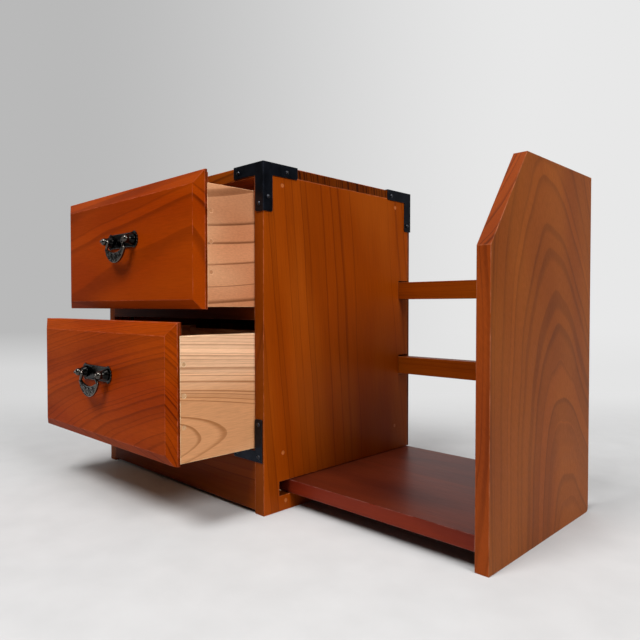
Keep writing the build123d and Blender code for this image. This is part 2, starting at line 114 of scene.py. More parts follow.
class MetalSettings(bpy.types.PropertyGroup):
    """Colours and finish of the ironwork, handles and nails."""

    iron: colour("Iron", "Blackened sheet iron of the brackets and plates", "#22262f")
    tack: colour("Tacks", "Domed heads of the bracket tacks", "#3a3b40")
    bronze: colour("Bronze", "Dark bronze of the handles", "#1b1a19")
    bronze_rubbed: colour("Rubbed bronze", "Handles where fingers polish them", "#777069")
    steel: colour("Steel", "Nuts inside the drawers", "#8a857e")
    pale_filler: colour("Pale filler", "Stopping over the nails of the lower drawer", "#c99c72")
    rosy_filler: colour("Rosy filler", "Stopping over the nails of the upper drawer", "#bd8259")
    case_filler: colour("Case filler", "Stopping over the nails of the case", "#b8642a")
    iron_roughness: share("Iron roughness", "Roughness of the blackened iron", 0.42)
    bronze_roughness: share("Bronze roughness", "Roughness of the handles", 0.2)


class HandleSettings(bpy.types.PropertyGroup):
    """Sizes of the handles' ornament."""

    flange: length("Flange radius", "Radius of a post's foot", 5.4)
    stem: length("Stem radius", "Radius of a post's threaded stem", 1.5)
    ball: length("Ball radius", "Radius of a post's ball head", 3.5)
    plate_round: length("Plate end radius", "Radius of the round ends of a handle plate", 6.8)
    scallop: length("Scallop radius", "Radius of the scallops round the plate's ends", 1.4)
    arm: length("Arm radius", "Radius of the bail's arms", 1.6)
    pin: length("Pin radius", "Radius of the bail's pins", 1.2)
    arm_drop: length("Arm drop", "How far the arms hang before the grip starts", 7.5)
    arm_inset: length("Arm inset", "How far the tops of the arms stand inside the posts", 6.8)
    arm_bow: length("Arm bow", "How far the arms lean outwards", 3.0)
    grip_height: length("Grip height", "Height of the crescent grip at its middle", 9.8)
    relief: length("Relief", "Height of the rosettes on the grip", 0.5)
    rosettes: IntProperty(name="Rosettes", description="How many rosettes the grip has", default=5, min=1)


class StageSettings(bpy.types.PropertyGroup):
    """Floor, backdrop, lamps and camera."""

    floor: colour("Floor", "Colour of the floor", "#c0c0c0")
    # The far floor's and the backdrop's left colours are darker, as painted shade of the light falling off
    far_floor_left_painted_shade: colour("Far floor left", "Colour of the far floor at the left", "#d6d6d6")
    floor_right: colour("Far floor right", "Colour of the far floor at the right", "#e4e4e4")
    wall_left_painted_shade: colour("Backdrop left", "Colour of the backdrop at the left", "#b9b9b9")
    wall_right: colour("Backdrop right", "Colour of the backdrop at the right", "#e8e8e8")
    wall_distance: length("Backdrop distance", "How far in front of the camera the backdrop stands", 1790)
    sky: share("Sky", "Strength of the even light from all round", 0.05)
    front: FloatProperty(name="Front lamp", description="Power of the front lamp", unit="POWER", default=40)
    above: FloatProperty(name="Top lamp", description="Power of the lamp overhead", unit="POWER", default=6)
    side: FloatProperty(name="Side lamp", description="Power of the side lamp", unit="POWER", default=28)
    lens: FloatProperty(name="Lens", description="Focal length on a 36 mm sensor, in mm", default=33.106)


# What the nodes are made with

def add(tree, kind, inputs=None, **settings):
    """Adds a node with its settings, and sets or links its inputs by name or number."""
    node = tree.nodes.new(kind)
    for name, value in settings.items():
        setattr(node, name, value)
    for key, value in (inputs or {}).items():
        if isinstance(value, bpy.types.NodeSocket):
            tree.links.new(value, node.inputs[key])
        else:
            node.inputs[key].default_value = value
    return node


def blank_material(name):
    """A new material and its node tree, which is empty."""
    material = bpy.data.materials.new(name)
    material.use_nodes = True
    material.node_tree.nodes.clear()
    return material, material.node_tree


def give(node, material):
    """Puts a material on a CAD node."""
    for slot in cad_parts[node].material_slots:
        slot.material = material


# Boards: finish, grain, heart of the tree, lean of the heart line, ring width, sway, dark share of a ring,
# line strength, tone and radius of the darker heartwood. The heart is measured in mm from the board's middle,
# and the lean is how far the heart shifts for each mm along the grain.
Board = namedtuple("Board", "finish grain heart lean ring sway dark lines tone core", defaults=(0,))

ALONG = {"X": Vector((1, 0, 0)), "Y": Vector((0, 1, 0)), "Z": Vector((0, 0, 1))}

CASE_BOARDS = {
    "top_panel": Board("case", "X", (0, -160, -25), (0, 0.03, 0.02), 4.5, 2, 0.3, 0.6, 1.3),
    # The divider's low tone darkens it as painted shade, for the dark inside of the case
    "drawer_divider": Board("case", "X", (0, 40, -60), (0, 0.03, 0), 4, 2, 0.3, 0.6, 0.55),
    "case_floor": Board("case", "X", (0, -50, -80), (0, 0.02, 0), 5, 2, 0.3, 0.5, 0.8),
    "plinth_board": Board("case", "X", (0, 60, -40), (0, 0, 0.03), 4, 2, 0.3, 0.6, 0.52),
    "back_panel": Board("case", "Z", (20, -45, 0), (0.03, -0.1, 0), 6, 3, 0.3, 0.6, 0.85),
    "front_shelf_runner": Board("pale", "X", (0, 60, -40), (0, 0, 0), 3, 1, 0.4, 0.6, 0.8),
    "rear_shelf_runner": Board("pale", "X", (0, -60, 30), (0, 0, 0), 3, 1, 0.4, 0.6, 0.8),
    "left_side_panel": Board("case", "Z", (45, -20, 0), (0.05, 0, 0), 6, 2, 0.25, 0.6, 1),
    "right_side_panel": Board("case", "Z", (-60, 50, 0), (-0.012, -0.1, 0), 9, 2.5, 0.11, 0.5, 0.98),
    # The kickers' low tone darkens them as painted shade, for the dark inside of the case
    "upper_left_kicker": Board("case", "Y", (40, 0, 30), (0, 0, 0), 3, 1, 0.4, 0.6, 0.35),
    "upper_right_kicker": Board("case", "Y", (-40, 0, 30), (0, 0, 0), 3, 1, 0.4, 0.6, 0.35),
    "lower_left_kicker": Board("case", "Y", (40, 0, -30), (0, 0, 0), 3, 1, 0.4, 0.6, 0.35),
    "lower_right_kicker": Board("case", "Y", (-40, 0, -30), (0, 0, 0), 3, 1, 0.4, 0.6, 0.35),
}

DRAWER_BOARDS = {
    "upper_drawer_front": Board("front", "X", (0, -290, -75), (0, 0.045, 0), 8, 1.5, 0.28, 0.42, 1),
    "upper_drawer_right_side": Board("rosy", "Y", (-51.5, 0, 90), (-0.3, 0, 0), 15.5, 1.5, 0.1, 1, 0.98),
    "upper_drawer_left_side": Board("rosy", "Y", (-40, 0, 180), (0, 0, 0.03), 9, 3, 0.2, 0.7, 0.95),
    "upper_drawer_back": Board("pale", "X", (0, 40, -70), (0, 0.05, 0), 5, 2, 0.3, 0.6, 0.9),
    "upper_drawer_bottom": Board("pale", "X", (0, 30, -90), (0, 0.03, 0.03), 5, 2, 0.3, 0.5, 0.95),
    "lower_drawer_front": Board("front", "X", (0, -300, -105), (0, 0.085, 0), 2, 1, 0.28, 0.45, 0.98),
    "lower_drawer_right_side": Board(
        "pale", "Y", (-65, 0, -32), (-0.06, 0, 0), 2.2, 0.9, 0.26, 0.85, 1.12, core=77,
    ),
    "lower_drawer_left_side": Board("pale", "Y", (30, 0, 30), (0.1, 0, 0), 4, 2, 0.3, 0.7, 1),
    "lower_drawer_back": Board("pale", "X", (0, -40, 60), (0, 0.05, 0), 5, 2, 0.3, 0.6, 0.9),
    "lower_drawer_bottom": Board("pale", "X", (0, -30, -90), (0, 0.03, 0.03), 5, 2, 0.3, 0.5, 0.95),
}

BOOKEND_BOARDS = {
    "bookend_end_panel": Board("bookend", "Z", (-108, 21, 0), (-0.2, -0.2, 0), 5.4, 3, 0.28, 0.5, 0.97),
    "bookend_shelf": Board("shelf", "X", (0, 45, -60), (0, 0.03, 0.04), 4, 1.5, 0.3, 0.25, 0.68),
    "bookend_upper_rail": Board("case", "X", (0, 30, 60), (0, 0, 0.01), 2.2, 0.8, 0.4, 0.4, 0.74),
    "bookend_lower_rail": Board("case", "X", (0, -30, 60), (0, 0, -0.01), 2.2, 0.8, 0.4, 0.4, 0.66),
    "bookend_stop_pegs": Board("pale", "Z", (0, 30, 0), (0, 0, 0), 2, 1, 0.3, 0.6, 0.9),
}

# Finishes: how strongly each mirrors, how much clear lacquer lies on it, how far its patches differ and
# the tint of a board's narrow edges, which is partly stain and partly painted light: painted shade that
# darkens the case's edges and a painted highlight that lightens the shelf's
FINISHES = {
    "front": (0.02, 0.1, 1, (1, 1, 1)),
    "case": (0.05, 0.2, 1, (0.62, 0.66, 0.75)),
    "bookend": (0.06, 0.25, 1, (1.11, 0.79, 0.74)),
    "shelf": (0.1, 0.8, 1, (1.75, 1.2, 1.0)),
    "pale": (0.1, 0, 0.3, (1, 1, 1)),
    "rosy": (0.1, 0, 1, (1, 1, 1)),
}

# Noises in the wood, as steps for each mm across, across and along the grain: sways about 60 mm wide and
# 220 mm long, patches 50 mm wide and 200 mm long, fibres 0.8 mm wide and 33 mm long, and scuffs of 8 mm
SWAY_STEPS = (0.016, 0.016, 0.0045)
PATCH_STEPS = (0.02, 0.02, 0.005)
FIBRE_STEPS = (1.2, 1.2, 0.03)
SCUFF_STEPS = (0.12, 0.12, 0.12)

# A ring's dark late wood: how far before the ring's end in dark shares, and how dark it is there
LATE_WOOD = ((1.5, 0.0), (0.45, 1.0), (0.2, 0.9))

# How far the years differ in width, and how much of a line is left where it fades
UNEVEN_YEARS = 0.7
FADED_SHARE = 0.55

# Half the width of the soft edge of the heartwood, in mm
CORE_BLUR = 12

# How much paler a rubbed edge is than the wood, partly as wear and partly as a painted highlight: a factor
# and what is added
EDGE_WEAR_AND_HIGHLIGHT_GAIN = 1.5
EDGE_WEAR_AND_HIGHLIGHT_LIFT = 0.06


def lacquered_board(node, board):
    """Satin lacquered softwood: year rings of pale early wood and thin dark late wood, cut from a round tree.

    The distance from the tree's heart line, swayed by slow noise and divided by the ring width, gives the
    rings. So a face, a bevel and an end of the same board show the same tree. Long thin noise along the
    grain gives fibres, the years differ in tone, the heartwood and the ends are darker, the narrow edges
    are tinted partly as stain and partly as painted light, edges are rubbed pale partly as wear and partly
    as a painted highlight, and a thin clear coat gives the soft sheen.
    """
    settings = bpy.context.scene.chest_wood
    light = getattr(settings, board.finish + "_light")
    deep = getattr(settings, board.finish + "_deep")
    line = getattr(settings, board.finish + "_line")
    # The edge tint is partly stain and partly painted light: painted shade on the case, a painted highlight
    # on the shelf
    mirror, lacquer, patchy, edge_tint_and_light = FINISHES[board.finish]
    low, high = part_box(node)
    heart = (low + high) / 2 + Vector(board.heart) * MM
    axis = ALONG[board.grain] + Vector(board.lean)
    turn = axis.to_track_quat("Z", "Y").to_euler()
    thin = min(ALONG.values(), key=(high - low).dot)
    material, tree = blank_material("lacquered_" + board.finish + "_wood_" + node)

    # The tree's own coordinates in mm, with Z along the grain
    place = add(tree, "ShaderNodeTexCoord").outputs["Object"]
    trunk_inputs = {"Vector": place, "Location": heart, "Rotation": turn, "Scale": (MM, MM, MM)}
    trunk = add(tree, "ShaderNodeMapping", trunk_inputs, vector_type="TEXTURE").outputs[0]

    # Rings round the heart, swayed, some years wider than others
    slow = add(tree, "ShaderNodeVectorMath", {0: trunk, 1: SWAY_STEPS}, operation="MULTIPLY").outputs[0]
    sway_inputs = {"Vector": slow, "Scale": 1, "Detail": 2}
    sway = add(tree, "ShaderNodeTexNoise", sway_inputs, normalize=False).outputs["Color"]
    swayed_inputs = {0: sway, 1: (board.sway, board.sway, 0), 2: trunk}
    swayed = add(tree, "ShaderNodeVectorMath", swayed_inputs, operation="MULTIPLY_ADD").outputs[0]
    flat = add(tree, "ShaderNodeVectorMath", {0: swayed, 1: (1, 1, 0)}, operation="MULTIPLY").outputs[0]
    radius = add(tree, "ShaderNodeVectorMath", {0: flat}, operation="LENGTH").outputs["Value"]
    years = add(tree, "ShaderNodeMath", {0: radius, 1: 1 / board.ring}, operation="MULTIPLY").outputs[0]
    spell_inputs = {"W": years, "Scale": 0.45}
    spell = add(tree, "ShaderNodeTexNoise", spell_inputs, noise_dimensions="1D", normalize=False).outputs[0]
    uneven_inputs = {0: spell, 1: UNEVEN_YEARS, 2: years}
    uneven = add(tree, "ShaderNodeMath", uneven_inputs, operation="MULTIPLY_ADD").outputs[0]
    ring = add(tree, "ShaderNodeMath", {0: uneven}, operation="FRACT").outputs[0]
    late = add(tree, "ShaderNodeValToRGB", {"Fac": ring})
    late.color_ramp.interpolation = "EASE"
    late.color_ramp.elements[-1].color = (0, 0, 0, 1)
    for back, value in LATE_WOOD:
        stop = late.color_ramp.elements.new(1 - back * board.dark)
        stop.color = (value, value, value, 1)
    year = add(tree, "ShaderNodeMath", {0: uneven}, operation="FLOOR").outputs[0]
    chance = add(tree, "ShaderNodeTexWhiteNoise", {"W": year}, noise_dimensions="1D").outputs["Value"]
    year_tone = add(tree, "ShaderNodeMapRange", {"Value": chance, "To Min": 0.88, "To Max": 1.08}).outputs[0]

    # Lines that come and go with the patches and are stronger where the cut crosses the grain, and fibres
    patch_place = add(tree, "ShaderNodeVectorMath", {0: trunk, 1: PATCH_STEPS}, operation="MULTIPLY")
    patch = add(tree, "ShaderNodeTexNoise", {"Vector": patch_place.outputs[0], "Scale": 1, "Detail": 1})
    patch_inputs = {"Value": patch.outputs[0], "From Min": 0.35, "From Max": 0.65}
    patches = add(tree, "ShaderNodeMapRange", patch_inputs, interpolation_type="SMOOTHSTEP").outputs[0]
    fade_inputs = {"Value": patches, "To Min": board.lines * FADED_SHARE, "To Max": board.lines}
    fade = add(tree, "ShaderNodeMapRange", fade_inputs).outputs[0]
    face = add(tree, "ShaderNodeNewGeometry").outputs["True Normal"]
    cut_inputs = {0: face, 1: ALONG[board.grain]}
    cut = add(tree, "ShaderNodeVectorMath", cut_inputs, operation="DOT_PRODUCT").outputs["Value"]
    squared = add(tree, "ShaderNodeMath", {0: cut, 1: cut}, operation="MULTIPLY").outputs[0]
    crossed_inputs = {"Value": squared, "From Max": 0.05, "To Min": 1.0, "To Max": 1.8}
    crossed = add(tree, "ShaderNodeMapRange", crossed_inputs).outputs[0]
    strength_inputs = {0: fade, 1: crossed}
    strength = add(tree, "ShaderNodeMath", strength_inputs, operation="MULTIPLY", use_clamp=True).outputs[0]
    lines = add(tree, "ShaderNodeMath", {0: late.outputs[0], 1: strength}, operation="MULTIPLY").outputs[0]
    fibre_place = add(tree, "ShaderNodeVectorMath", {0: trunk, 1: FIBRE_STEPS}, operation="MULTIPLY")
    fibre_inputs = {"Vector": fibre_place.outputs[0], "Scale": 1, "Detail": 3, "Roughness": 0.65}
    fibre = add(tree, "ShaderNodeTexNoise", fibre_inputs).outputs[0]

    # Edges: the normal rounded over a small radius, and where it leaves the flat one the finish is rubbed
    # pale, partly as wear and partly as a painted highlight on the rounded arris
    rounded = add(tree, "ShaderNodeBevel", {"Radius": settings.arris_round}, samples=6).outputs[0]
    along = add(tree, "ShaderNodeVectorMath", {0: rounded, 1: face}, operation="DOT_PRODUCT").outputs["Value"]
    edge = add(tree, "ShaderNodeMapRange", {"Value": along, "From Min": 0.9985, "From Max": 0.986}).outputs[0]
    scuff_place = add(tree, "ShaderNodeVectorMath", {0: trunk, 1: SCUFF_STEPS}, operation="MULTIPLY")
    scuff = add(tree, "ShaderNodeTexNoise", {"Vector": scuff_place.outputs[0], "Scale": 1, "Detail": 4})
    scuff_inputs = {"Value": scuff.outputs[0], "From Min": 0.35, "From Max": 0.7, "To Max": settings.edge_wear_and_highlight}
    scuffs = add(tree, "ShaderNodeMapRange", scuff_inputs).outputs[0]
    # Rubbed arrises: the pale colour there is partly wear and partly a painted highlight
    rubbed = add(tree, "ShaderNodeMath", {0: edge, 1: scuffs}, operation="MULTIPLY").outputs[0]

    # Colour from the patches and the heartwood, the rings, the fibres, the edges and ends, which take the
    # stain differently, the narrow edges' tint, which is partly painted light (painted shade on the case's
    # edges, a painted highlight on the shelf's), and the rubbed arrises, pale partly from wear and partly as
    # a painted highlight
    light = tuple(c * board.tone for c in light)
    deep = tuple(c * board.tone for c in deep)
    # The colour of the rubbed arrises, paler partly from wear and partly as a painted highlight
    pale = tuple(min(1, c * EDGE_WEAR_AND_HIGHLIGHT_GAIN + EDGE_WEAR_AND_HIGHLIGHT_LIFT) for c in light)
    core_inputs = {"Value": radius, "From Min": board.core + CORE_BLUR, "From Max": board.core - CORE_BLUR}
    core = add(tree, "ShaderNodeMapRange", core_inputs, interpolation_type="SMOOTHSTEP").outputs[0]
    deeper_inputs = {0: patches, 1: patchy, 2: core}
    deeper = add(tree, "ShaderNodeMath", deeper_inputs, operation="MULTIPLY_ADD", use_clamp=True).outputs[0]
    body_inputs = {0: deeper, 6: (*light, 1), 7: (*deep, 1)}
    body = add(tree, "ShaderNodeMix", body_inputs, data_type="RGBA").outputs[2]
    ringed = add(tree, "ShaderNodeMix", {0: lines, 6: body, 7: (*line, 1)}, data_type="RGBA").outputs[2]
    shade_inputs = {"Value": fibre, "From Min": 0.25, "From Max": 0.75, "To Min": 0.86, "To Max": 1.12}
    shade = add(tree, "ShaderNodeMapRange", shade_inputs).outputs[0]
    toned = add(tree, "ShaderNodeMath", {0: shade, 1: year_tone}, operation="MULTIPLY").outputs[0]
    fibrous_inputs = {0: 1.0, 6: ringed, 7: toned}
    fibrous = add(tree, "ShaderNodeMix", fibrous_inputs, data_type="RGBA", blend_type="MULTIPLY").outputs[2]
    soaked = add(tree, "ShaderNodeMapRange", {"Value": squared, "To Min": 1.0, "To Max": 0.55}).outputs[0]
    # Narrow edges take the tint, partly as stain and partly as painted shade or painted highlight
    broad = add(tree, "ShaderNodeVectorMath", {0: face, 1: thin}, operation="DOT_PRODUCT").outputs["Value"]
    broad = add(tree, "ShaderNodeMath", {0: broad, 1: broad}, operation="MULTIPLY").outputs[0]
    stain_inputs = {0: broad, 6: (*edge_tint_and_light, 1), 7: (1, 1, 1, 1)}
    edge_stain_and_light = add(tree, "ShaderNodeMix", stain_inputs, data_type="RGBA").outputs[2]
    stained_inputs = {0: 1.0, 6: fibrous, 7: edge_stain_and_light}
    edge_stained_and_lit = add(tree, "ShaderNodeMix", stained_inputs, data_type="RGBA", blend_type="MULTIPLY").outputs[2]
    ended_inputs = {0: 1.0, 6: edge_stained_and_lit, 7: soaked}
    ended = add(tree, "ShaderNodeMix", ended_inputs, data_type="RGBA", blend_type="MULTIPLY").outputs[2]
    worn_and_highlit = add(tree, "ShaderNodeMix", {0: rubbed, 6: ended, 7: (*pale, 1)}, data_type="RGBA").outputs[2]

    # Fibres stand a few hundredths of a millimetre proud
    bump_inputs = {"Height": fibre, "Strength": 0.2, "Distance": 0.06 * MM, "Normal": rounded}
    bump = add(tree, "ShaderNodeBump", bump_inputs).outputs[0]
    gloss = add(tree, "ShaderNodeMapRange", {"Value": fibre, "To Min": 0.5, "To Max": 0.36}).outputs[0]
    shader_inputs = {
        "Base Color": worn_and_highlit,
        "Roughness": gloss,
        "IOR": 1.5,
        "Specular IOR Level": mirror,
        "Coat Weight": lacquer * settings.lacquer,
        "Coat Roughness": 0.22,
        "Coat IOR": 1.5,
        "Normal": bump,
        "Coat Normal": rounded,
    }
    shader = add(tree, "ShaderNodeBsdfPrincipled", shader_inputs)
    add(tree, "ShaderNodeOutputMaterial", {"Surface": shader.outputs[0]})
    return material


# How much brighter a worn metal edge is than the metal: a factor and what is added. Then how far the
# roughness strays
WORN_GAIN = 3
WORN_LIFT = 0.02
ROUGHNESS_SPREAD = 0.08


def dark_metal(name, base, roughness, grain_mm, rubbed=None):
    """Blackened metal: dark, softly reflecting, uneven where the blackening took more or less.

    Noise at the size of the hammering varies the roughness and gives shallow dents. Where a colour for the
    rubbed places is given, the mesh's own relief attribute says how far fingers have polished it. Otherwise
    the edges are worn brighter.
    """
    material, tree = blank_material(name)
    place = add(tree, "ShaderNodeTexCoord").outputs["Object"]
    dents_inputs = {"Vector": place, "Scale": 1 / (grain_mm * MM), "Detail": 4, "Roughness": 0.6}
    dents = add(tree, "ShaderNodeTexNoise", dents_inputs).outputs[0]
    bump_inputs = {"Height": dents, "Strength": 0.35, "Distance": 0.1 * MM}
    tone_inputs = {"Value": dents, "From Min": 0.3, "From Max": 0.7, "To Min": 0.7, "To Max": 1.3}
    tone = add(tree, "ShaderNodeMapRange", tone_inputs).outputs[0]
    mottled_inputs = {0: 1.0, 6: (*base, 1), 7: tone}
    skin = add(tree, "ShaderNodeMix", mottled_inputs, data_type="RGBA", blend_type="MULTIPLY").outputs[2]
    if rubbed is None:
        rounded = add(tree, "ShaderNodeBevel", {"Radius": 0.5 * MM}, samples=6).outputs[0]
        face = add(tree, "ShaderNodeNewGeometry").outputs["True Normal"]
        along_inputs = {0: rounded, 1: face}
        along = add(tree, "ShaderNodeVectorMath", along_inputs, operation="DOT_PRODUCT").outputs["Value"]
        edge_inputs = {"Value": along, "From Min": 0.98, "From Max": 0.8, "To Max": 0.5}
        edge = add(tree, "ShaderNodeMapRange", edge_inputs).outputs[0]
        bright = tuple(min(1, c * WORN_GAIN + WORN_LIFT) for c in base)
        skin = add(tree, "ShaderNodeMix", {0: edge, 6: skin, 7: (*bright, 1)}, data_type="RGBA").outputs[2]
        bump_inputs["Normal"] = rounded
    else:
        relief = add(tree, "ShaderNodeAttribute", attribute_name="relief").outputs["Fac"]
        skin = add(tree, "ShaderNodeMix", {0: relief, 6: skin, 7: (*rubbed, 1)}, data_type="RGBA").outputs[2]
    bump = add(tree, "ShaderNodeBump", bump_inputs).outputs[0]
    smooth = roughness - ROUGHNESS_SPREAD
    gloss_inputs = {"Value": dents, "To Min": smooth, "To Max": roughness + ROUGHNESS_SPREAD}
    gloss = add(tree, "ShaderNodeMapRange", gloss_inputs).outputs[0]
    shader_inputs = {"Base Color": skin, "Metallic": 1.0, "Roughness": gloss, "Normal": bump}
    shader = add(tree, "ShaderNodeBsdfPrincipled", shader_inputs)
    add(tree, "ShaderNodeOutputMaterial", {"Surface": shader.outputs[0]})
    return material


def nail_stopping(name, base):
    """Wax stopping over sunk nail heads: dull, a little mottled, close to the wood's own colour."""
    material, tree = blank_material(name)
    place = add(tree, "ShaderNodeTexCoord").outputs["Object"]
    mottle_inputs = {"Vector": place, "Scale": 1 / (1.5 * MM), "Detail": 3}
    mottle = add(tree, "ShaderNodeTexNoise", mottle_inputs).outputs[0]
    tone = add(tree, "ShaderNodeMapRange", {"Value": mottle, "To Min": 0.75, "To Max": 1.2}).outputs[0]
    skin_inputs = {0: 1.0, 6: (*base, 1), 7: tone}
    skin = add(tree, "ShaderNodeMix", skin_inputs, data_type="RGBA", blend_type="MULTIPLY").outputs[2]
    bump = add(tree, "ShaderNodeBump", {"Height": mottle, "Strength": 0.3, "Distance": 0.1 * MM}).outputs[0]
    shader_inputs = {"Base Color": skin, "Roughness": 0.6, "Specular IOR Level": 0.2, "Normal": bump}
    shader = add(tree, "ShaderNodeBsdfPrincipled", shader_inputs)
    add(tree, "ShaderNodeOutputMaterial", {"Surface": shader.outputs[0]})
    return material


# Surfaces of the cast handles

# Points nearer than this are one point
MERGE_DISTANCE = 0.0005 * MM

# What a ray's share is taken to be at least, where it is divided by
LEAST_SHARE = 1e-9

# How many steps the meshes have along and round each form
POST_STEPS = 150
POST_SIDES = 48
BALL_STEPS = 21
PLATE_SIDES = 480
PLATE_RINGS = 8
ARM_STEPS = 70
GRIP_STEPS = 221
BAIL_SIDES = 64


def surface(name, grids, relief):
    """A smooth closed mesh over grids of points in metres, whose columns run round and meet again.

    Point i, j is joined to the next row and the next column, and the last column to the first. The end
    rows lie in one point each, which merging makes a pole. relief holds a grid of values for each grid.
    """
    points = np.concatenate([grid.reshape(-1, 3) for grid in grids])
    quads = []
    start = 0
    for grid in grids:
        rows, columns = grid.shape[:2]
        index = start + np.arange(rows * columns).reshape(rows, columns)
        index = np.hstack([index, index[:, :1]])
        corners = (index[:-1, :-1], index[1:, :-1], index[1:, 1:], index[:-1, 1:])
        quads.append(np.stack(corners, axis=-1).reshape(-1, 4))
        start += rows * columns
    mesh = bpy.data.meshes.new(name)
    mesh.from_pydata(points.tolist(), [], np.concatenate(quads).tolist())
    values = np.concatenate([grid.ravel() for grid in relief])
    mesh.attributes.new("relief", "FLOAT", "POINT").data.foreach_set("value", values.astype(np.float32))
    cleaned = bmesh.new()
    cleaned.from_mesh(mesh)
    bmesh.ops.remove_doubles(cleaned, verts=cleaned.verts, dist=MERGE_DISTANCE)
    bmesh.ops.dissolve_degenerate(cleaned, edges=cleaned.edges, dist=MERGE_DISTANCE)
    bmesh.ops.recalc_face_normals(cleaned, faces=cleaned.faces)
    cleaned.to_mesh(mesh)
    cleaned.free()
    mesh.polygons.foreach_set("use_smooth", np.ones(len(mesh.polygons), dtype=bool))
    piece = bpy.data.objects.new(name, mesh)
    bpy.context.scene.collection.objects.link(piece)
    return piece


def eased(points, count):
    """Even steps along a profile's points, rounded by a short running mean."""
    points = np.asarray(points, dtype=float)
    steps = np.concatenate([[0], np.cumsum(np.hypot(*np.diff(points, axis=0).T))])
    at = np.linspace(0, steps[-1], count)
    run = np.stack([np.interp(at, steps, points[:, 0]), np.interp(at, steps, points[:, 1])], axis=1)
    padded = np.concatenate([run[:1], run, run[-1:]])
    return (padded[:-2] + 2 * padded[1:-1] + padded[2:]) / 4


# A post's stem: its chamfer, and how far under the flange a point keeps their corner sharp, in mm
STEM_CHAMFER = 0.3
STEM_CORNER = 0.05

# A post's bell-shaped foot: height over the plate and how far inside the flange, in mm
POST_FOOT = ((0, 0.2), (0.25, 0), (0.8, 0.05), (1.6, 0.45), (2.6, 0.95), (3.6, 1.45), (4.5, 1.8), (5.2, 1.95))

# A post's ball: where its arc starts at the neck and ends at the tip, in degrees from its back
BALL_SWEEP = (75, 155)

# A post's tip: distance from its end and radius, in mm
POST_TIP = ((0.75, 1.15), (0.35, 1.0), (0.1, 0.65), (0, 0))

# How far fingers have polished a post, and between which heights over the plate that sets in, in mm
POST_RUB = 0.35
POST_RUB_FROM = 4
POST_RUB_FULL = 8


def post_grid(middle_x, middle_z, foot_y, stem_end, axis, tip, settings):
    """A turned post: a profile of height and radius carried round the post's axis, which runs along -Y.

    The profile goes up the stem, over the bell-shaped foot, in to the neck, round the ball and out to the
    tip.
    """
    stem = settings.stem / MM
    flange = settings.flange / MM
    ball = settings.ball / MM
    shank = (
        (stem_end, 0), (stem_end, stem - STEM_CHAMFER), (stem_end + STEM_CHAMFER, stem),
        (-STEM_CORNER, stem), (0, stem),
    )
    foot = [(height, flange - inset) for height, inset in POST_FOOT]
    turn = np.radians(np.linspace(*BALL_SWEEP, BALL_STEPS))
    head = np.stack([axis - ball * np.cos(turn), ball * np.sin(turn)], axis=1)
    point = [(tip - back, radius) for back, radius in POST_TIP]
    run = eased(np.concatenate([shank, foot, head, point]), POST_STEPS)
    run[0, 1] = 0
    run[-1, 1] = 0
    angle = np.linspace(0, TURN, POST_SIDES, endpoint=False)
    x = middle_x + run[:, 1:] * MM * np.cos(angle)
    z = middle_z + run[:, 1:] * MM * np.sin(angle)
    y = foot_y - run[:, :1] * MM + 0 * angle
    polished = (run[:, :1] - POST_RUB_FROM) / (POST_RUB_FULL - POST_RUB_FROM)
    rub = np.clip(polished, 0, 1) * POST_RUB + 0 * angle
    return np.stack([x, y, z], axis=-1), rub


# Scallops round each end of a handle plate, in degrees from the plate's length
SCALLOP_TURNS = (0, 24, 48, 72, -24, -48, -72)

# The rim of a handle plate, from the sunk field over the rim to the back: depth inside the outline in mm,
# and height as a share of the plate's thickness
PLATE_RIM = (
    (2.2, 0.78), (1.9, 0.8), (1.65, 0.9), (1.4, 0.98), (1.1, 1.0), (0.75, 0.98), (0.4, 0.9), (0.15, 0.72),
    (0.0, 0.5), (0.0, 0.1), (0.1, 0.0),
)

# How far fingers have polished the rim, and the share of the plate's thickness where that sets in
RIM_RUB = 0.25
RIM_RUB_FROM = 0.82


def plate_grid(low, high, post_half, settings):
    """A handle plate: rings of its outline, from its middle out over a raised rim and back under it.

    The outline's distance from the middle at each angle is the farthest exit of a ray from the bar, the
    round ends and the scallops. Each ring is a depth inside that outline and a height over the plate's back.
    """
    middle = (low + high) / 2
    half_height = settings.plate_round
    angle = np.linspace(0, TURN, PLATE_SIDES, endpoint=False)
    ray = np.stack([np.cos(angle), np.sin(angle)])
    slope = np.maximum(abs(ray), LEAST_SHARE)
    bar = np.minimum(post_half / slope[0], half_height / slope[1])
    turns = np.radians(SCALLOP_TURNS)
    ends = [(side * post_half, 0, half_height) for side in (-1, 1)]
    ends += [
        (side * (post_half + half_height * math.cos(turn)), half_height * math.sin(turn), settings.scallop)
        for side in (-1, 1)
        for turn in turns
    ]
    ends = np.array(ends)
    along = ends[:, :1] * ray[0] + ends[:, 1:2] * ray[1]
    inside = ends[:, 2:] ** 2 - (ends[:, :1] ** 2 + ends[:, 1:2] ** 2) + along ** 2
    exits = np.where(inside > 0, along + np.sqrt(np.maximum(inside, 0)), 0)
    outline = np.maximum(bar, exits.max(axis=0))
    thickness = high.y - low.y
    depths, height_shares = np.array(PLATE_RIM).T[:, :, None]
    rim_radius = outline - depths * MM
    rim_height = height_shares * thickness + 0 * outline
    shares = np.linspace(0, 1, PLATE_RINGS, endpoint=False)[:, None]
    front_radius = shares * rim_radius[0]
    front_height = rim_height[0] + 0 * front_radius
    back_radius = shares[::-1] * rim_radius[-1]
    radius = np.concatenate([front_radius, rim_radius, back_radius])
    height = np.concatenate([front_height, rim_height, 0 * back_radius])
    x = middle.x + radius * ray[0]
    z = middle.z + radius * ray[1]
    y = high.y - height
    rub = np.clip((height / thickness - RIM_RUB_FROM) / (1 - RIM_RUB_FROM), 0, 1) * RIM_RUB
    return np.stack([x, y, z], axis=-1), rub


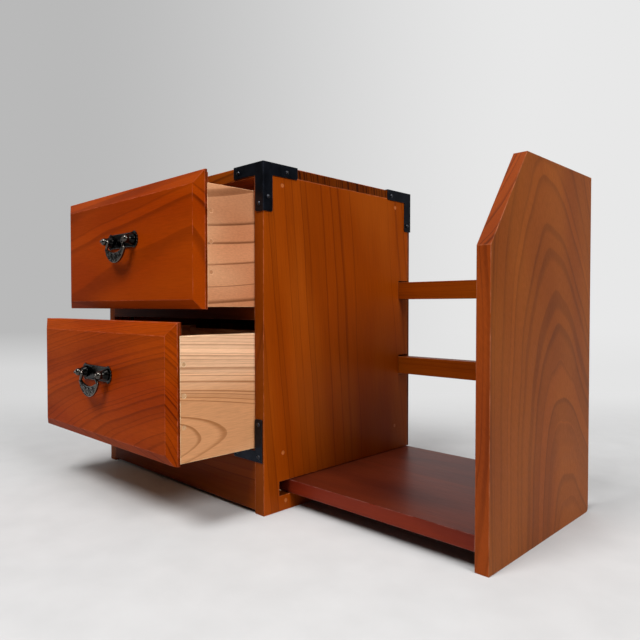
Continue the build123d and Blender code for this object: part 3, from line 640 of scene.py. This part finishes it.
def arc(half_chord, start, low, share_along):
    """Points on the arc through two ends at one height and a low middle, at shares of its length."""
    drop = start - low
    radius = (half_chord ** 2 + drop ** 2) / (2 * drop)
    half_angle = math.asin(half_chord / radius)
    angle = half_angle * (2 * share_along - 1)
    return np.stack([radius * np.sin(angle), low + radius - radius * np.cos(angle)], axis=1)


# The bend from a pin into an arm: outwards from the top of the arm and downwards, as shares of its radius
BEND_SHARES = ((1, 0), (0.5, 0.12), (0, 0.7))

# Where a pin swells into the arm, outwards from the top of the arm, and over what length
SWELL_START = 2.6 * MM
SWELL_LENGTH = 0.9 * MM

# The pin's end: its radius as a share of the pin's own, for a small chamfer
PIN_END_SHARE = 0.8

# Share of the crescent over which the arm's round section turns into the broad one of the grip
GRIP_BLEND_SHARE = 0.14

# A grip's section: how far its superellipse's power rises over the arm's 2
GRIP_POWER = 1.8

# A rosette has units of its own: so many along its place on the grip, and so many in the grip's half height.
# In them are the radius of its boss and the radius and width of the ring round it
ROSETTE_ALONG = 2.1
ROSETTE_ACROSS = 1.25
BOSS_RADIUS = 0.3
RING_RADIUS = 0.78
RING_WIDTH = 0.17
RING_STRENGTH = 0.8

# The border of the grip as shares of its half height: where it starts to rise and over what width
BORDER_SHARE = 0.78
BORDER_RISE_SHARE = 0.1

# How far fingers have polished the arms, and the raised ornament of the grip
ARM_RUB = 0.45
GRIP_RUB = 0.85


def bail_grid(axis_y, axis_z, middle_x, half_reach, top_half, low, settings):
    """A bail: a rounded section carried from pin to pin, round where it is pin or arm and broad at the grip.

    The line runs in along the left pin, bends down the leaning arm, follows the middle of the crescent
    between its outer and inner arcs, and goes up the other side. The section is a superellipse, whose
    power grows towards the grip. On the grip's faces, rings about even middles stand up as rosettes.
    """
    arm = settings.arm
    arm_half = top_half + settings.arm_bow
    bend = [(-top_half - out * arm, -down * arm) for out, down in BEND_SHARES]
    left = eased([(-half_reach, 0), *bend, (-arm_half, -settings.arm_drop)], ARM_STEPS)
    ahead = np.gradient(left, axis=0)
    ahead /= np.hypot(ahead[:, 0], ahead[:, 1])[:, None]
    inner_side = np.stack([-ahead[:, 1], ahead[:, 0]], axis=1)
    swell = np.clip((left[:, 0] + top_half + SWELL_START) / SWELL_LENGTH, 0, 1)
    size = settings.pin + (arm - settings.pin) * swell
    size[0] = 0
    left[1] = left[0]
    size[1] = settings.pin * PIN_END_SHARE
    left_half = (inner_side * size[:, None])[:-1]
    left = left[:-1]
    along = np.linspace(0, 1, GRIP_STEPS)
    outer = arc(arm_half + arm, -settings.arm_drop, low, along)
    inner = arc(arm_half - arm, -settings.arm_drop, low + settings.grip_height, along)
    mirror = np.array([-1, 1])
    line = np.concatenate([left, (outer + inner) / 2, left[::-1] * mirror])
    half = np.concatenate([left_half, (inner - outer) / 2, left_half[::-1] * mirror])
    width = np.hypot(half[:, 0], half[:, 1])
    grip = np.concatenate([0 * left[:, 0] - 1, along, 0 * left[:, 0] - 1])
    on_grip = np.clip(np.minimum(grip, 1 - grip) / GRIP_BLEND_SHARE, 0, 1)
    on_grip = (on_grip * on_grip * (3 - 2 * on_grip))[:, None]
    angle = np.linspace(0, TURN, BAIL_SIDES, endpoint=False)
    power = 2 / (2 + GRIP_POWER * on_grip)
    across = np.sign(np.cos(angle)) * abs(np.cos(angle)) ** power
    out = np.sign(np.sin(angle)) * abs(np.sin(angle)) ** power
    cell = grip[:, None] * settings.rosettes
    spot = (cell - np.floor(cell) - 0.5) * ROSETTE_ALONG
    off = np.hypot(spot, across * ROSETTE_ACROSS)
    boss = np.exp(-(off / BOSS_RADIUS) ** 2)
    ring = RING_STRENGTH * np.exp(-((off - RING_RADIUS) / RING_WIDTH) ** 2)
    border = np.clip((abs(across) - BORDER_SHARE) / BORDER_RISE_SHARE, 0, 1)
    raised = np.clip(np.maximum(boss + ring, border), 0, 1)
    depth = np.minimum(arm, width)[:, None] - settings.relief * on_grip * (1 - raised)
    x = middle_x + line[:, :1] + half[:, :1] * across
    z = axis_z + line[:, 1:] + half[:, 1:] * across
    y = axis_y + depth * out
    rub = ARM_RUB * (1 - on_grip) + GRIP_RUB * raised * on_grip + 0 * x
    return np.stack([x, y, z], axis=-1), rub


class CHEST_OT_case_boards(bpy.types.Operator):
    """Lacquers the boards of the case."""

    bl_idname = "chest.case_boards"
    bl_label = "Case boards"

    def execute(self, context):
        for node, board in CASE_BOARDS.items():
            give(node, lacquered_board(node, board))
        return {"FINISHED"}


class CHEST_OT_drawer_boards(bpy.types.Operator):
    """Lacquers the drawer fronts and gives the drawer boxes their pale wood."""

    bl_idname = "chest.drawer_boards"
    bl_label = "Drawer boards"

    def execute(self, context):
        for node, board in DRAWER_BOARDS.items():
            give(node, lacquered_board(node, board))
        return {"FINISHED"}


class CHEST_OT_bookend_boards(bpy.types.Operator):
    """Lacquers the boards of the bookend."""

    bl_idname = "chest.bookend_boards"
    bl_label = "Bookend boards"

    def execute(self, context):
        for node, board in BOOKEND_BOARDS.items():
            give(node, lacquered_board(node, board))
        return {"FINISHED"}


class CHEST_OT_ironwork(bpy.types.Operator):
    """Blackens the brackets, plates and tacks, gives the nuts their steel and stops the nail heads."""

    bl_idname = "chest.ironwork"
    bl_label = "Ironwork"

    def execute(self, context):
        metal = context.scene.chest_metal
        iron = dark_metal("blackened_sheet_iron", metal.iron, metal.iron_roughness, 9)
        tack = dark_metal("blackened_iron_tacks", metal.tack, metal.iron_roughness - 0.1, 4)
        steel = dark_metal("dull_steel", metal.steel, 0.5, 3)
        pale_filler = nail_stopping("pale_nail_stopping", metal.pale_filler)
        rosy_filler = nail_stopping("rosy_nail_stopping", metal.rosy_filler)
        case_filler = nail_stopping("case_nail_stopping", metal.case_filler)
        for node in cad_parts:
            if node.endswith(("corner_bracket", "corner_plate")):
                give(node, iron)
            elif node.endswith("tacks"):
                give(node, tack)
            elif node.endswith("nuts"):
                give(node, steel)
            elif node == "lower_drawer_nails":
                give(node, pale_filler)
            elif node == "upper_drawer_nails":
                give(node, rosy_filler)
            elif node.endswith("nails"):
                give(node, case_filler)
        return {"FINISHED"}


class CHEST_OT_handles(bpy.types.Operator):
    """Makes the cast handles: scalloped plates with a rim, turned posts and bails with a row of rosettes."""

    bl_idname = "chest.handles"
    bl_label = "Handles"

    def execute(self, context):
        metal = context.scene.chest_metal
        sizes = context.scene.chest_handles
        bronze = dark_metal(
            "dark_cast_bronze", metal.bronze, metal.bronze_roughness, 2.5, metal.bronze_rubbed,
        )
        for drawer in ("upper", "lower"):
            plate_low, plate_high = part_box(drawer + "_handle_plate")
            posts_low, posts_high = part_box(drawer + "_handle_posts")
            bail_low, bail_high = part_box(drawer + "_bail")
            middle = (posts_low + posts_high) / 2
            post_half = (posts_high.x - posts_low.x) / 2 - sizes.flange
            plate = plate_grid(plate_low, plate_high, post_half, sizes)
            stem_end = (plate_low.y - posts_high.y) / MM
            tip = (plate_low.y - posts_low.y) / MM
            axis_y = (bail_low.y + bail_high.y) / 2
            axis = (plate_low.y - axis_y) / MM
            posts = [
                post_grid(middle.x + side * post_half, middle.z, plate_low.y, stem_end, axis, tip, sizes)
                for side in (-1, 1)
            ]
            half_reach = (bail_high.x - bail_low.x) / 2
            drop = bail_low.z - middle.z
            bail = bail_grid(axis_y, middle.z, middle.x, half_reach, post_half - sizes.arm_inset, drop, sizes)
            made = (
                ("handle_plate", [plate], drawer + "_drawer"),
                ("handle_posts", posts, drawer + "_drawer"),
                ("bail", [bail], drawer + "_bail"),
            )
            for name, grids, body in made:
                piece = surface("cast_" + drawer + "_" + name, [g for g, _ in grids], [r for _, r in grids])
                piece.data.materials.append(bronze)
                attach(piece, body)
                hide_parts(drawer + "_" + name)
        return {"FINISHED"}


# Camera: how far right of the case's middle and before the top's front edge it stands, its height, all in
# metres, and its tilt and its turn to the left
EYE_RIGHT = 0.51816
EYE_BEFORE = 0.32292
EYE_HEIGHT = 0.17911
CAMERA_TILT = math.radians(88.646)
CAMERA_TURN = math.radians(44.172)
SENSOR_WIDTH = 36

# Floor and backdrop in metres: reach behind and beside the camera, radius of the cove, height in it from
# which it is all wall, and height of the wall. Then the mesh's steps
FLOOR_BEHIND = 3
FLOOR_HALF_WIDTH = 3
COVE = 0.12
WALL_FOOT = 0.1
WALL_HEIGHT = 2.6
COVE_STEPS = 17
FLOOR_COLUMNS = 25

# Where the far floor starts and is full, in metres: ahead of the camera, and round the origin for other
# views. The backdrop and the far floor turn from their left to their right colour between two distances
# beside the camera, darker at the left as painted shade
FAR_FROM, FAR_FULL = 0.62, 1.2
OUTER_FROM, OUTER_FULL = 0.75, 1.6
LEFT_END, RIGHT_END = -0.8, 0.7

# What the lamps point at
LAMP_TARGET = Vector((0, 0, 0.15))


class CHEST_OT_stage(bpy.types.Operator):
    """Sets out the floor with its backdrop, the lamps and the camera."""

    bl_idname = "chest.stage"
    bl_label = "Stage"

    def execute(self, context):
        scene = context.scene
        stage = scene.chest_stage
        scene.view_settings.view_transform = "Standard"

        low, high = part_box("top_panel")
        eye = Vector(((low.x + high.x) / 2 + EYE_RIGHT, low.y - EYE_BEFORE, EYE_HEIGHT))
        camera = bpy.data.cameras.new("camera")
        camera.lens = stage.lens
        camera.sensor_width = SENSOR_WIDTH
        camera.clip_start = 0.01
        view = bpy.data.objects.new("camera", camera)
        view.location = eye
        view.rotation_euler = (CAMERA_TILT, 0, CAMERA_TURN)
        scene.collection.objects.link(view)
        scene.camera = view

        # Floor and backdrop: a profile with a curved foot, carried sideways
        ahead = np.array([-math.sin(CAMERA_TURN), math.cos(CAMERA_TURN), 0])
        aside = np.array([math.cos(CAMERA_TURN), math.sin(CAMERA_TURN), 0])
        upward = np.array([0, 0, 1])
        turn = np.linspace(0, math.pi / 2, COVE_STEPS)
        reach = stage.wall_distance
        run = np.concatenate([[-FLOOR_BEHIND, 0], reach - COVE + COVE * np.sin(turn), [reach]])
        rise = np.concatenate([[0, 0], COVE - COVE * np.cos(turn), [WALL_HEIGHT]])
        side = np.linspace(-FLOOR_HALF_WIDTH, FLOOR_HALF_WIDTH, FLOOR_COLUMNS)
        start = np.array([eye.x, eye.y, 0])
        profile = start + run[:, None] * ahead + rise[:, None] * upward
        grid = profile[:, None] + side[:, None] * aside
        rows, columns = grid.shape[:2]
        index = np.arange(rows * columns).reshape(rows, columns)
        corners = (index[:-1, :-1], index[:-1, 1:], index[1:, 1:], index[1:, :-1])
        quads = np.stack(corners, axis=-1).reshape(-1, 4)
        mesh = bpy.data.meshes.new("floor_and_backdrop")
        mesh.from_pydata(grid.reshape(-1, 3).tolist(), [], quads.tolist())
        mesh.polygons.foreach_set("use_smooth", np.ones(len(mesh.polygons), dtype=bool))
        floor = bpy.data.objects.new("floor_and_backdrop", mesh)
        scene.collection.objects.link(floor)

        # Plaster: dull, pale and faintly mottled, and even far off, so that the floor runs into the backdrop.
        # The backdrop and the far floor are painted darker towards the left, as painted shade
        material, tree = blank_material("pale_grey_plaster")
        place = add(tree, "ShaderNodeTexCoord").outputs["Object"]
        across_inputs = {0: place, 1: tuple(aside)}
        across = add(tree, "ShaderNodeVectorMath", across_inputs, operation="DOT_PRODUCT").outputs["Value"]
        middle = float(start @ aside)
        # Painted shade: the backdrop and far floor grow darker towards the left
        side_inputs = {"Value": across, "From Min": middle + LEFT_END, "From Max": middle + RIGHT_END}
        sideways = add(tree, "ShaderNodeMapRange", side_inputs, interpolation_type="SMOOTHSTEP").outputs[0]
        wall_inputs = {0: sideways, 6: (*stage.wall_left_painted_shade, 1), 7: (*stage.wall_right, 1)}
        wall = add(tree, "ShaderNodeMix", wall_inputs, data_type="RGBA").outputs[2]
        height = add(tree, "ShaderNodeSeparateXYZ", {0: place}).outputs["Z"]
        up = add(tree, "ShaderNodeMapRange", {"Value": height, "From Max": WALL_FOOT}).outputs[0]
        away_inputs = {0: place, 1: tuple(ahead)}
        away = add(tree, "ShaderNodeVectorMath", away_inputs, operation="DOT_PRODUCT").outputs["Value"]
        near = float(start @ ahead)
        far_inputs = {"Value": away, "From Min": near + FAR_FROM, "From Max": near + FAR_FULL}
        far = add(tree, "ShaderNodeMapRange", far_inputs, interpolation_type="SMOOTHSTEP").outputs[0]
        spread = add(tree, "ShaderNodeVectorMath", {0: place}, operation="LENGTH").outputs["Value"]
        outer_inputs = {"Value": spread, "From Min": OUTER_FROM, "From Max": OUTER_FULL}
        outer = add(tree, "ShaderNodeMapRange", outer_inputs, interpolation_type="SMOOTHSTEP").outputs[0]
        distant_inputs = {0: sideways, 6: (*stage.far_floor_left_painted_shade, 1), 7: (*stage.floor_right, 1)}
        distant = add(tree, "ShaderNodeMix", distant_inputs, data_type="RGBA").outputs[2]
        glow = add(tree, "ShaderNodeMix", {0: up, 6: distant, 7: wall}, data_type="RGBA").outputs[2]
        lit = add(tree, "ShaderNodeMath", {0: up, 1: far}, operation="MAXIMUM").outputs[0]
        mixed_inputs = {0: up, 6: (*stage.floor, 1), 7: wall}
        mixed = add(tree, "ShaderNodeMix", mixed_inputs, data_type="RGBA").outputs[2]
        mottle = add(tree, "ShaderNodeTexNoise", {"Vector": place, "Scale": 30, "Detail": 8}).outputs[0]
        tone = add(tree, "ShaderNodeMapRange", {"Value": mottle, "To Min": 0.92, "To Max": 1.08}).outputs[0]
        skin_inputs = {0: 1.0, 6: mixed, 7: tone}
        skin = add(tree, "ShaderNodeMix", skin_inputs, data_type="RGBA", blend_type="MULTIPLY").outputs[2]
        shader_inputs = {"Base Color": skin, "Roughness": 0.7, "Specular IOR Level": 0.2}
        shader = add(tree, "ShaderNodeBsdfPrincipled", shader_inputs)
        rays = add(tree, "ShaderNodeLightPath")
        seen_inputs = {0: rays.outputs["Is Camera Ray"], 1: rays.outputs["Is Glossy Ray"]}
        seen = add(tree, "ShaderNodeMath", seen_inputs, operation="ADD").outputs[0]
        seen_inputs = {0: seen, 1: rays.outputs["Is Transmission Ray"]}
        seen = add(tree, "ShaderNodeMath", seen_inputs, operation="ADD", use_clamp=True).outputs[0]
        shown = add(tree, "ShaderNodeMath", {0: seen, 1: lit}, operation="MULTIPLY").outputs[0]
        rim_inputs = {0: rays.outputs["Is Camera Ray"], 1: outer}
        rim = add(tree, "ShaderNodeMath", rim_inputs, operation="MULTIPLY").outputs[0]
        shown = add(tree, "ShaderNodeMath", {0: shown, 1: rim}, operation="MAXIMUM").outputs[0]
        even = add(tree, "ShaderNodeEmission", {"Color": glow, "Strength": 1.0})
        sheet = add(tree, "ShaderNodeMixShader", {0: shown, 1: shader.outputs[0], 2: even.outputs[0]})
        add(tree, "ShaderNodeOutputMaterial", {"Surface": sheet.outputs[0]})
        mesh.materials.append(material)

        # World: a weak even light, which the camera sees as pale as the backdrop
        world = bpy.data.worlds.new("even_studio_light")
        world.use_nodes = True
        tree = world.node_tree
        tree.nodes.clear()
        sky = add(tree, "ShaderNodeBackground", {"Color": (1, 1, 1, 1), "Strength": stage.sky})
        pale = add(tree, "ShaderNodeBackground", {"Color": (*stage.wall_right, 1), "Strength": 1.0})
        seen = add(tree, "ShaderNodeLightPath").outputs["Is Camera Ray"]
        around = add(tree, "ShaderNodeMixShader", {0: seen, 1: sky.outputs[0], 2: pale.outputs[0]})
        add(tree, "ShaderNodeOutputWorld", {"Surface": around.outputs[0]})
        scene.world = world

        # Lamps: one high in front, a wide one overhead and one from the right
        lamps = (
            ("front_softbox", (0.1, -1.1, 1.8), 0.9, stage.front),
            ("overhead_softbox", (0.1, 0.0, 2.2), 1.8, stage.above),
            ("side_softbox", (1.6, -0.2, 1.35), 0.9, stage.side),
        )
        for name, place, size, power in lamps:
            lamp = bpy.data.lights.new(name, "AREA")
            lamp.shape = "DISK"
            lamp.size = size
            lamp.energy = power
            holder = bpy.data.objects.new(name, lamp)
            holder.location = place
            beam = LAMP_TARGET - holder.location
            holder.rotation_euler = beam.to_track_quat("-Z", "Y").to_euler()
            scene.collection.objects.link(holder)
        return {"FINISHED"}


OPERATORS = (
    CHEST_OT_stage,
    CHEST_OT_case_boards,
    CHEST_OT_drawer_boards,
    CHEST_OT_bookend_boards,
    CHEST_OT_ironwork,
    CHEST_OT_handles,
)


class CHEST_PT_sidebar(bpy.types.Panel):
    """Lists the settings and the steps."""

    bl_idname = "CHEST_PT_sidebar"
    bl_label = "Desk chest"
    bl_space_type = "VIEW_3D"
    bl_region_type = "UI"
    bl_category = "Desk chest"

    def draw(self, context):
        for operator in OPERATORS:
            self.layout.operator(operator.bl_idname)
        for name in SETTINGS:
            group = getattr(context.scene, name)
            box = self.layout.box()
            for setting in group.__annotations__:
                box.prop(group, setting)


SETTINGS = {
    "chest_wood": WoodSettings,
    "chest_metal": MetalSettings,
    "chest_handles": HandleSettings,
    "chest_stage": StageSettings,
}

CLASSES = (*SETTINGS.values(), *OPERATORS, CHEST_PT_sidebar)


def register():
    for kind in CLASSES:
        bpy.utils.register_class(kind)
    for name, group in SETTINGS.items():
        setattr(bpy.types.Scene, name, PointerProperty(type=group))


def unregister():
    for name in SETTINGS:
        delattr(bpy.types.Scene, name)
    for kind in reversed(CLASSES):
        bpy.utils.unregister_class(kind)


def main():
    register()
    bpy.ops.chest.stage()
    bpy.ops.chest.case_boards()
    bpy.ops.chest.drawer_boards()
    bpy.ops.chest.bookend_boards()
    bpy.ops.chest.ironwork()
    bpy.ops.chest.handles()


if __name__ == "__main__":
    main()
